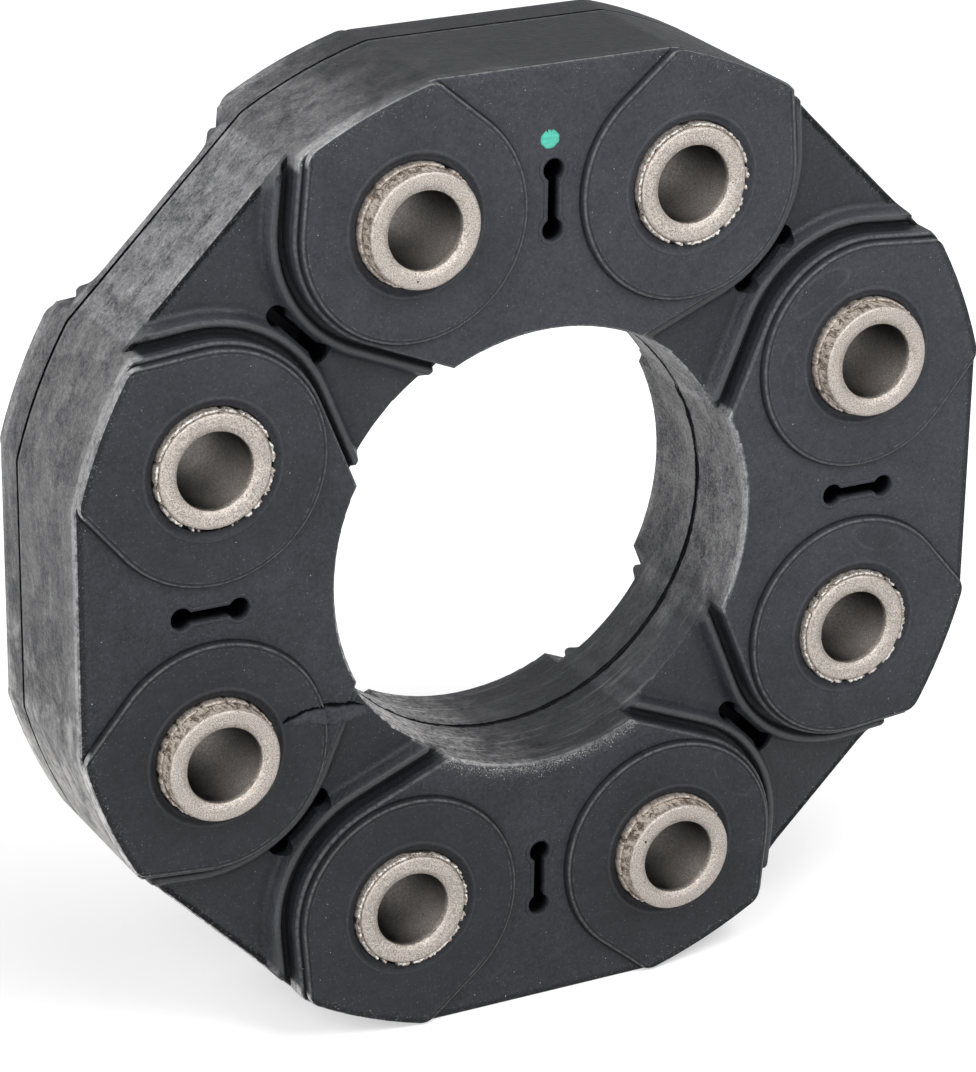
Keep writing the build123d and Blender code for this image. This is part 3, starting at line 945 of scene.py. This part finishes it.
def sleeve_points(number, settings):
    """A sleeve is a closed profile carried round its hole.

    The profile runs up the outside from the rear to the front, over the front
    face and back down the bore. The foot ring's radius and height vary round
    the hole with a broken noise, and the face's outer edge has a fine waver.
    Each row also gives its share of flaky ring, stain and bore; in the bore
    that share becomes painted shade, with a painted lit patch on one side.
    """
    steps = settings.steps_round
    front = PROUD_H if number % 2 == 1 else FLUSH_H
    rear = FLUSH_H if number % 2 == 1 else PROUD_H
    mouth_w, mouth_d = settings.mouth_width / MM, settings.mouth_depth / MM
    bevel = settings.face_bevel / MM
    turn = whole_turn(steps)

    def end_rows(tip, seed, chipped):
        proud = tip > FLUSH_H + 0.5
        waver = smooth_noise(steps, range(3, 40), seed) * 0.05
        ring = smooth_noise(steps, range(2, 30), seed + 50)
        lost = np.clip((ring - 0.30) * 6.0, 0.0, 1.0)
        if chipped:
            place = np.degrees(turn)
            tooth = 0.5 + smooth_noise(steps, range(18, 60), seed + 7)
            lost = np.maximum(lost, np.clip(tooth * 2.0, 0, 1) * ((place > 235) & (place < 300)))
        crumble = smooth_noise(steps, range(20, 90), seed + 90) * 0.14
        pale = 0.3 if proud else 1.0
        ring_r = BODY_R - 0.02 - lost * 0.38 + crumble * (1 - lost)
        ring_h = SHOULDER_H + crumble * 1.2 - lost * 1.0
        gap_h = SHOULDER_H - 0.22 - lost * 0.8
        rows = [
            (ring_r - 0.02, MOAT_H - 0.4, 0.0, 0.6, 0.0),
            (ring_r, ring_h - 0.55, 0.8 * pale, 0.6, 0.0),
            (ring_r, ring_h - 0.10, pale, 1.0 - pale, 0.0),
            (ring_r - 0.09, ring_h, pale, 1.0 - pale, 0.0),
            (SPIGOT_R + 0.16 + crumble, ring_h + 0.02, pale, 1.0 - pale, 0.0),
            (SPIGOT_R + 0.07, gap_h, 0.2, 0.9, 0.0),
            (SPIGOT_R - 0.01 + waver * 0.4, gap_h + 0.06, 0.0, 1.0, 0.0),
        ]
        side = np.linspace(0.15, 1.0, 4 if proud else 2)
        top = tip - bevel
        for share in side[:-1]:
            rows.append((SPIGOT_R + waver * 0.5, gap_h + (top - gap_h) * share, 0.0, 1.0, 0.0))
        rows += [
            (SPIGOT_R + waver * 0.3, top + waver * 0.3, 0.0, 0.5, 0.0),
            # The bevel rows take some of the pale flake colour, so the bevel shows lighter all round
            (SPIGOT_R - bevel * 0.35 + waver * 0.3, tip - bevel * 0.42, 0.35, 0.05, 0.0),
            (SPIGOT_R - bevel + waver * 0.4, tip - 0.03, 0.15, 0.0, 0.0),
            (SPIGOT_R - bevel - 0.12 + waver * 0.4, tip, 0.0, 0.0, 0.0),
            (SLEEVE_BORE_R + mouth_w + 0.08 + waver * 0.3, tip, 0.0, 0.0, 0.0),
            (SLEEVE_BORE_R + mouth_w - 0.04 + waver * 0.3, tip - 0.03, 0.0, 0.0, 0.0),
            (SLEEVE_BORE_R + 0.08, tip - mouth_d + 0.04, 0.0, 0.15, 0.1),
            (SLEEVE_BORE_R, tip - mouth_d - 0.10, 0.0, 0.45, 0.5),
            (SLEEVE_BORE_R, tip - mouth_d - 0.9, 0.0, 0.0, 1.0),
        ]
        return rows

    front_rows = end_rows(front, 100 * number + 1, number == 4)
    rear_rows = end_rows(rear, 100 * number + 2, False)
    rows = [(r, -h, f, s, b) for r, h, f, s, b in front_rows]
    rows += [(SLEEVE_BORE_R, y, 0.0, 0.0, 1.0) for y in np.linspace(-11.0, 11.0, 9)]
    rows += list(reversed(rear_rows))
    rows += [(BODY_R, y, 0.0, 0.5, 0.0) for y in (9.0, 0.0, -9.0)]

    points = np.concatenate([ring(hole_place(number), row[0], row[1], turn) for row in rows])
    flake, stain, bore = [np.repeat([row[k] for row in rows], steps) for k in (2, 3, 4)]
    # Painted light and shade in the bore: dark all round, with a lit patch on one side that is brighter
    # deeper in
    lit = np.tile(np.clip(np.cos(turn + 0.7), 0.0, 1.0) ** 3.2, len(rows))
    deep = np.repeat([1.0 - abs(np.mean(row[1])) / 13.0 for row in rows], steps).clip(0.0, 1.0)
    shares = {"flake": flake, "stain": stain, "bore": bore * (1.0 - 0.95 * lit), "glow": bore * lit * deep}
    return points, len(rows), shares


def moat_lips(settings):
    """Soft rings round the sleeves on both faces.

    A closed profile carried round each hole: it rises from the foot of the
    sleeve through a shallow valley to a low rounded lip on the seat. The lip's
    rise varies a little round the hole.
    """
    rise = settings.lip_rise / MM
    profile = (
        (8.06, -0.90, 0.0), (8.03, -0.42, 0.0), (8.12, -0.34, 0.1), (8.32, -0.31, 0.1), (8.58, -0.22, 0.2),
        (8.80, -0.09, 0.6), (8.98, 0.0, 0.9), (9.16, 0.0, 1.0), (9.34, 0.0, 0.6), (9.52, -0.03, 0.1),
        (9.40, -0.25, 0.0), (9.0, -0.60, 0.0), (8.6, -0.90, 0.0),
    )
    turn = whole_turn(LIP_STEPS)
    faces = grid_faces(len(profile), LIP_STEPS, close_rows=True, close_columns=True)
    parts = []
    for number in range(1, HOLES + 1):
        for end in ENDS:
            lift = rise * (1.0 + 0.3 * lone_noise(turn, 30 * number + int(end) + 2, 7))
            heights = [end * (SEAT_H + h + share * lift) for _, h, share in profile]
            rows = [ring(hole_place(number), row[0], y, turn) for row, y in zip(profile, heights)]
            parts.append((np.concatenate(rows), faces))
    return joined(parts)


def slot_outline(grow):
    """Closed outline of a dogbone slot, grown outwards: two arcs joined by the straight sides of the neck."""
    r, w = SLOT_LOBE_R + grow, SLOT_HALF_NECK + grow
    start = math.asin(min(1.0, w / r))
    arc = np.linspace(math.pi - start, start - math.pi, 60)
    right = np.stack([SLOT_HALF_SPAN + r * np.cos(arc), r * np.sin(arc)], -1)
    corners = np.concatenate([right, -right, right[:1]])
    line = even_line(corners, np.linspace(0.0, 1.0, SLOT_STEPS, endpoint=False))
    for _ in range(3):
        line = (np.roll(line, 1, 0) + line + np.roll(line, -1, 0)) / 3.0
    return line


def slot_lips(settings):
    """Soft lips round the slots of the pads, on both faces: beads along the slot's grown outline."""
    rise = settings.lip_rise / MM
    outline = slot_outline(0.32)
    parts = []
    for number in range(4):
        x, z = turned(SLOT_REACH + outline[:, 0], outline[:, 1], number * math.pi / 2)
        parts += [face_bead(x, z, end, PAD_H, 0.5, rise * 1.2, True) for end in ENDS]
    return joined(parts)


def seat_lines(settings):
    """A fine raised line just inside the free edge of each seat.

    It follows the circle round the hole and leaves it along the two straight
    sides towards the outer wall.
    """
    rise = settings.lip_rise / MM
    r = SEAT_R - 0.62
    arc = np.linspace(OUTER_TANGENT, 2 * math.pi - OUTER_TANGENT, 220)
    circle = np.stack([r * np.cos(arc), r * np.sin(arc)], -1)
    run = np.linspace(8.6, 0.12, 26)[:, None]
    lead = np.array([[math.sin(OUTER_TANGENT), -math.cos(OUTER_TANGENT)]])
    first = circle[:1] + lead * run
    last = circle[-1:] + lead * np.array([[1.0, -1.0]]) * run[::-1]
    line = np.concatenate([first, circle, last])
    parts = []
    for number in range(HOLES):
        x, z = turned(BOLT_R + line[:, 0], line[:, 1], hole_angle(number + 1))
        for end in ENDS:
            waver = lone_noise(np.linspace(0, 9, len(x)), 7 * number + int(end) + 2, 9)
            parts.append(face_bead(x, z, end, SEAT_H, 0.20, rise * 0.55 * (1.0 + 0.5 * waver), False))
    return joined(parts)


def bore_flash(settings):
    """Ragged flash along both sides of the parting line in the bore: rings whose rise comes and goes."""
    top = settings.flash_rise / MM
    turn = whole_turn(FLASH_STEPS)
    parts = []
    for seed, end in zip((3, 4), ENDS):
        coarse = smooth_noise(FLASH_STEPS, range(3, 60), seed)
        fine = smooth_noise(FLASH_STEPS, range(90, 330), seed + 9)
        rise = top * np.clip(0.18 + coarse * 0.9 + fine * 0.5, 0.08, 1.0)
        inwards = -ring((0.0, 0.0), 1.0, 0.0, turn)
        y = end * (0.33 + 0.05 * smooth_noise(FLASH_STEPS, range(4, 50), seed + 5))
        parts.append(bead(ring((0.0, 0.0), BORE_MID_R, y, turn), inwards, 0.24, rise, True))
    return joined(parts)


def paint_dot(settings):
    """A dab of paint: a low dome whose outline wavers and has two small bites at the top.

    Rows run from the middle out to the rim and back under it. Returns the
    points, the faces and each point's share of the way to the rim.
    """
    half = settings.paint_width / MM / 2.0
    turn = whole_turn(DOT_STEPS)
    waver = smooth_noise(DOT_STEPS, range(2, 9), 12) * 0.05 + smooth_noise(DOT_STEPS, range(9, 30), 13) * 0.02
    bites = 0.36 * np.exp(-(((turn - 1.88) / 0.06) ** 2)) + 0.30 * np.exp(-(((turn - 1.36) / 0.05) ** 2))
    outline = half * (1.0 + waver - bites)
    dome = np.linspace(0.0, 1.0, 15)
    share = np.concatenate([dome, [1.0, 0.0]])
    height = np.concatenate([0.11 * (1.0 - dome**4) + 0.015, [-0.05, -0.05]])
    ripple = 0.012 * np.sin(5.0 * share[:, None] * 3.0 + 3.0 * turn) * (share[:, None] < 0.99)
    x = -0.62 + share[:, None] * outline * np.cos(turn)
    z = 54.32 + share[:, None] * outline * np.sin(turn) * 0.93
    y = -(PAD_H + height[:, None] + ripple * (height[:, None] > 0) * share[:, None])
    points = np.stack([x, y + 0 * x, z], -1).reshape(-1, 3)
    return points, grid_faces(len(share), DOT_STEPS, close_columns=True), np.repeat(share, DOT_STEPS)


def torn_sliver(settings):
    """A sliver of rubber torn up beside one sleeve, from the sleeve's moat to the bore.

    Stations run along it. At each, the section goes over a near-black band
    painted as the shadow in the gap, up the free edge, down to the fixed edge
    and back below the surface. Returns the points, the faces and each point's
    share of painted shadow.
    """
    lift = settings.tear_lift / MM
    along = np.linspace(0.0, 1.0, TEAR_STEPS)

    def even(edge):
        line = even_line(np.array(edge), along)
        for _ in range(6):
            line[1:-1] = (line[:-2] + line[1:-1] + line[2:]) / 3.0
        return line

    upper, lower = even(TEAR_UPPER), even(TEAR_LOWER)
    upper[:, 1] += lone_noise(along * 14.0, 5, 12) * 0.07
    lower[:, 1] += lone_noise(along * 15.0, 6, 12) * 0.12
    taper = np.clip(np.minimum(along * 9.0, (1.0 - along) * 7.0), 0.0, 1.0)
    free = lift * taper * (0.75 + 0.35 * lone_noise(along * 5.0, 8, 5))
    across = np.array([-0.42, -0.06, 0.0, 0.02, 0.14, 0.32, 0.55, 0.78, 0.94, 1.0, 1.02, 0.5, -0.42])
    raised = np.array([0.015, 0.02, 0.04, 0.80, 1.0, 0.86, 0.55, 0.34, 0.24, 0.10, -0.2, -0.2, -0.2])
    # Share of painted shadow in each row of the section
    painted_gap_shadow = np.array([1.0, 1.0, 1.0, 0.55, 0.0, 0.0, 0.0, 0.0, 0.0, 0.25, 0.6, 1.0, 1.0])
    wide = np.linalg.norm(upper - lower, axis=1)
    cut_width = 0.30 * taper * (1.0 + 0.4 * lone_noise(along * 11.0, 4, 8))
    outside = (upper - lower) / wide[:, None]
    inner = across[None, :] >= 0
    place = upper[:, None] + (lower - upper)[:, None] * np.where(inner, across[None, :], 0.0)[..., None]
    cut = np.where(inner, 0.0, -across[None, :] / 0.42) * cut_width[:, None]
    place = place + outside[:, None] * cut[..., None]
    hx, hz = hole_place(5)
    off = np.hypot(place[..., 0] - hx, place[..., 1] - hz)
    on_seat = np.clip((SEAT_R + 0.12 - off) / 0.35, 0.0, 1.0)
    ground = PAD_H + (SEAT_H - PAD_H) * on_seat
    skin = lone_noise(place[..., 0] * 2.1 + place[..., 1] * 1.3, 21, 10) * 0.03 * inner
    body = np.where(raised[None, :] > 0.05, raised[None, :] * free[:, None] + 0.03 + skin, raised[None, :])
    points = np.stack([place[..., 0], -(ground + body), place[..., 1]], -1)
    points[0] = points[0].mean(0)
    points[-1] = points[-1].mean(0)
    faces = grid_faces(TEAR_STEPS, len(across), close_columns=True)
    return points.reshape(-1, 3), faces, np.tile(painted_gap_shadow, TEAR_STEPS)


def dust_crumbs(settings):
    """Rubber crumbs lying on the faces: small bent icosahedra, each with its own size.

    Places are drawn at random over the disc, thicker along the outer edge of
    the front and along the bottom pad's bore edge, and kept where a face is.
    """
    rng = np.random.default_rng(77)
    golden = (1.0 + math.sqrt(5.0)) / 2.0
    shape = np.array(
        [[-1, golden, 0], [1, golden, 0], [-1, -golden, 0], [1, -golden, 0],
         [0, -1, golden], [0, 1, golden], [0, -1, -golden], [0, 1, -golden],
         [golden, 0, -1], [golden, 0, 1], [-golden, 0, -1], [-golden, 0, 1]]
    ) / math.hypot(1.0, golden)
    sides = np.array(
        [[0, 11, 5], [0, 5, 1], [0, 1, 7], [0, 7, 10], [0, 10, 11], [1, 5, 9], [5, 11, 4],
         [11, 10, 2], [10, 7, 6], [7, 1, 8], [3, 9, 4], [3, 4, 2], [3, 2, 6], [3, 6, 8],
         [3, 8, 9], [4, 9, 5], [2, 4, 11], [6, 2, 10], [8, 6, 7], [9, 8, 1]]
    )
    reach = np.concatenate([
        np.sqrt(rng.uniform(BORE_R**2, OUTER_R**2, 800)),
        OUTER_R - 0.6 - rng.exponential(1.1, 800),
        BORE_R + 0.52 + rng.exponential(0.40, 1100),
    ])
    turn = np.concatenate([
        rng.uniform(-math.pi, math.pi, 1600),
        np.radians(rng.normal(-92.0, 15.0, 1100)),
    ])
    end = np.where(rng.uniform(size=len(reach)) < 0.72, -1.0, 1.0)
    x, z = reach * np.cos(turn), reach * np.sin(turn)
    height = front_height(x, z)
    keep = np.isfinite(height)
    x, z, end, height = x[keep], z[keep], end[keep], height[keep]
    count = len(x)
    size = settings.crumb_width / MM / 2.0 * (0.25 + 0.75 * rng.power(0.45, count))
    grow = size[:, None, None] * rng.uniform(0.7, 1.25, (count, 12, 1)) * rng.uniform(0.6, 1.4, (count, 1, 3))
    points = shape[None] * grow
    points += np.stack([x, end * (height + size * 0.2), z], -1)[:, None]
    faces = (sides[None] + 12 * np.arange(count)[:, None, None]).reshape(-1, 3)
    return points.reshape(-1, 3), faces


class FLEXDISC_OT_rubber(bpy.types.Operator):
    """Dresses the rubber moulding"""

    bl_idname = "flexdisc.rubber"
    bl_label = "Rubber Moulding"

    def execute(self, context):
        assign("rubber_body", rubber_material(context.scene.flexdisc_rubber))
        return {"FINISHED"}


class FLEXDISC_OT_inner(bpy.types.Operator):
    """Dresses the cord loops and support collars sealed in the rubber"""

    bl_idname = "flexdisc.inner"
    bl_label = "Cord Loops and Collars"

    def execute(self, context):
        cord, collar = cord_material(), collar_material()
        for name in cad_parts:
            if name.startswith("loop_"):
                assign(name, cord)
            if name.startswith("collar_"):
                assign(name, collar)
        return {"FINISHED"}


class FLEXDISC_OT_sleeves(bpy.types.Operator):
    """Makes the eight steel sleeves with their bevels and broken foot rings"""

    bl_idname = "flexdisc.sleeves"
    bl_label = "Steel Sleeves"

    def execute(self, context):
        settings = context.scene.flexdisc_sleeve
        steel = sleeve_material(settings)
        for number in range(1, HOLES + 1):
            points, rows, shares = sleeve_points(number, settings)
            faces = grid_faces(rows, settings.steps_round, close_rows=True, close_columns=True)
            piece = make_piece(f"steel_sleeve_{number}", points, faces, steel)
            for name, values in shares.items():
                paint_points(piece, name, values)
            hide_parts(f"sleeve_{number}")
        return {"FINISHED"}


class FLEXDISC_OT_flash(bpy.types.Operator):
    """Makes the moulding's soft lips, its fine raised lines and the flash in the bore"""

    bl_idname = "flexdisc.flash"
    bl_label = "Lips and Flash"

    def execute(self, context):
        settings = context.scene.flexdisc_mark
        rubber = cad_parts["rubber_body"].material_slots[0].material
        for name, maker, poles in (
            ("moat_lips", moat_lips, False),
            ("slot_lips", slot_lips, False),
            ("seat_lines", seat_lines, True),
            ("bore_flash", bore_flash, False),
        ):
            points, faces = maker(settings)
            piece = make_piece(name, points, faces, rubber)
            if poles:
                weld_piece(piece)
        return {"FINISHED"}


class FLEXDISC_OT_marks(bpy.types.Operator):
    """Makes the paint dot, the torn sliver and the rubber crumbs"""

    bl_idname = "flexdisc.marks"
    bl_label = "Paint, Tear and Crumbs"

    def execute(self, context):
        settings = context.scene.flexdisc_mark
        points, faces, rim = paint_dot(settings)
        dot = make_piece("paint_dot", points, faces, paint_material(settings))
        paint_points(dot, "rim", rim)
        weld_piece(dot)
        points, faces, painted_gap_shadow = torn_sliver(settings)
        torn = make_piece("torn_sliver", points, faces, torn_material(context.scene.flexdisc_rubber))
        paint_points(torn, "painted_gap_shadow", painted_gap_shadow)
        weld_piece(torn)
        points, faces = dust_crumbs(settings)
        make_piece("dust_crumbs", points, faces, crumb_material())
        return {"FINISHED"}


class FLEXDISC_OT_studio(bpy.types.Operator):
    """Sets up the floor, the lights, the background and the camera"""

    bl_idname = "flexdisc.studio"
    bl_label = "Studio"

    def execute(self, context):
        settings = context.scene.flexdisc_studio
        scene = context.scene
        scene.view_settings.view_transform = "Standard"
        scene.cycles.max_bounces = MAX_BOUNCES
        scene.cycles.diffuse_bounces = DIFFUSE_BOUNCES
        make_floor()
        make_sky(scene, settings.sky_strength)
        make_light("key_light", (-0.75, -0.38, 0.42), 0.75, settings.key_power)
        make_light("fill_light", (0.16, -0.36, 0.42), 0.34, settings.fill_power)
        make_camera(scene, settings.lens)
        return {"FINISHED"}


def make_floor():
    """Plain pale floor that shows white to the camera and in gloss, and keeps a light shadow, with painted
    light that washes it out away from the disc and to the left.
    """
    g = material_graph("studio_floor")
    _, (x, y, _) = g.place()
    away = (x * x + y * y).sqrt()
    # Painted light: the floor's glow grows away from the disc and towards -X, so the shadow there shows
    # lighter
    glow = away.ramp(50.0, 150.0) * 0.26 + x.ramp(-45.0, -95.0) * 0.08 + 0.40
    paper = g.node("BsdfDiffuse", {"Color": (0.86, 0.86, 0.86)})
    pale = g.node("BsdfDiffuse", {"Color": (0.60, 0.60, 0.60)})
    lit = g.node("AddShader", {0: pale, 1: g.node("Emission", {"Strength": glow})})
    choice = g.node("MixShader", {0: g.seen(), 1: paper, 2: lit})
    half = np.linspace(-3000.0, 3000.0, 9)
    across, deep = np.meshgrid(half, half, indexing="ij")
    points = np.stack([across, deep, np.full_like(across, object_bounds()[0].z / MM)], -1).reshape(-1, 3)
    mesh = bpy.data.meshes.new("floor")
    mesh.from_pydata((points * MM).tolist(), [], grid_faces(9, 9).tolist())
    mesh.materials.append(g.finish("OutputMaterial", choice))
    floor = bpy.data.objects.new("floor", mesh)
    bpy.context.scene.collection.objects.link(floor)
    floor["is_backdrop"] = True


def make_sky(scene, strength):
    """Even light from all round, which shows as white to the camera and in gloss."""
    scene.world = bpy.data.worlds.new("studio_sky")
    g = Graph(scene.world)
    shown = g.seen() * (1.0 - strength) + strength
    g.finish("OutputWorld", g.node("Background", {"Color": (1.0, 1.0, 1.0), "Strength": shown}))


def make_light(name, place, size, power):
    """A square soft light that looks at the disc."""
    lamp = bpy.data.lights.new(name, "AREA")
    lamp.energy = power
    lamp.size = size
    thing = bpy.data.objects.new(name, lamp)
    thing.location = place
    thing.rotation_mode = "QUATERNION"
    thing.rotation_quaternion = thing.location.to_track_quat("Z", "Y")
    bpy.context.scene.collection.objects.link(thing)


def make_camera(scene, lens):
    """The camera of the photograph."""
    data = bpy.data.cameras.new("photo_camera")
    data.lens = lens
    data.sensor_width = 36.0
    data.clip_start, data.clip_end = 0.01, 20.0
    thing = bpy.data.objects.new("photo_camera", data)
    behind = [-part for part in CAMERA_AHEAD]
    columns = (CAMERA_RIGHT, CAMERA_UP, behind, CAMERA_PLACE)
    thing.matrix_world = Matrix([*zip(*columns), (0.0, 0.0, 0.0, 1.0)])
    scene.collection.objects.link(thing)
    scene.camera = thing


# ---------------------------------------------------------------- panel and start


class FLEXDISC_PT_panel(bpy.types.Panel):
    """Lists the disc's pieces and their settings."""

    bl_idname = "FLEXDISC_PT_panel"
    bl_label = "Flex Disc"
    bl_space_type = "VIEW_3D"
    bl_region_type = "UI"
    bl_category = "Flex Disc"

    def draw(self, context):
        for key, _ in GROUPS:
            box = self.layout.box()
            group = getattr(context.scene, key)
            for name in type(group).__annotations__:
                box.prop(group, name)
        for maker in MAKERS:
            self.layout.operator(maker.bl_idname)


MAKERS = (
    FLEXDISC_OT_rubber,
    FLEXDISC_OT_inner,
    FLEXDISC_OT_sleeves,
    FLEXDISC_OT_flash,
    FLEXDISC_OT_marks,
    FLEXDISC_OT_studio,
)
GROUPS = (
    ("flexdisc_rubber", RubberSettings),
    ("flexdisc_sleeve", SleeveSettings),
    ("flexdisc_mark", MarkSettings),
    ("flexdisc_studio", StudioSettings),
)


def register():
    for key, group in GROUPS:
        bpy.utils.register_class(group)
        setattr(bpy.types.Scene, key, PointerProperty(type=group))
    for maker in MAKERS:
        bpy.utils.register_class(maker)
    bpy.utils.register_class(FLEXDISC_PT_panel)


def unregister():
    bpy.utils.unregister_class(FLEXDISC_PT_panel)
    for maker in reversed(MAKERS):
        bpy.utils.unregister_class(maker)
    for key, group in reversed(GROUPS):
        delattr(bpy.types.Scene, key)
        bpy.utils.unregister_class(group)


def main():
    register()
    for maker in MAKERS:
        group, name = maker.bl_idname.split(".")
        getattr(getattr(bpy.ops, group), name)()


if __name__ == "__main__":
    main()
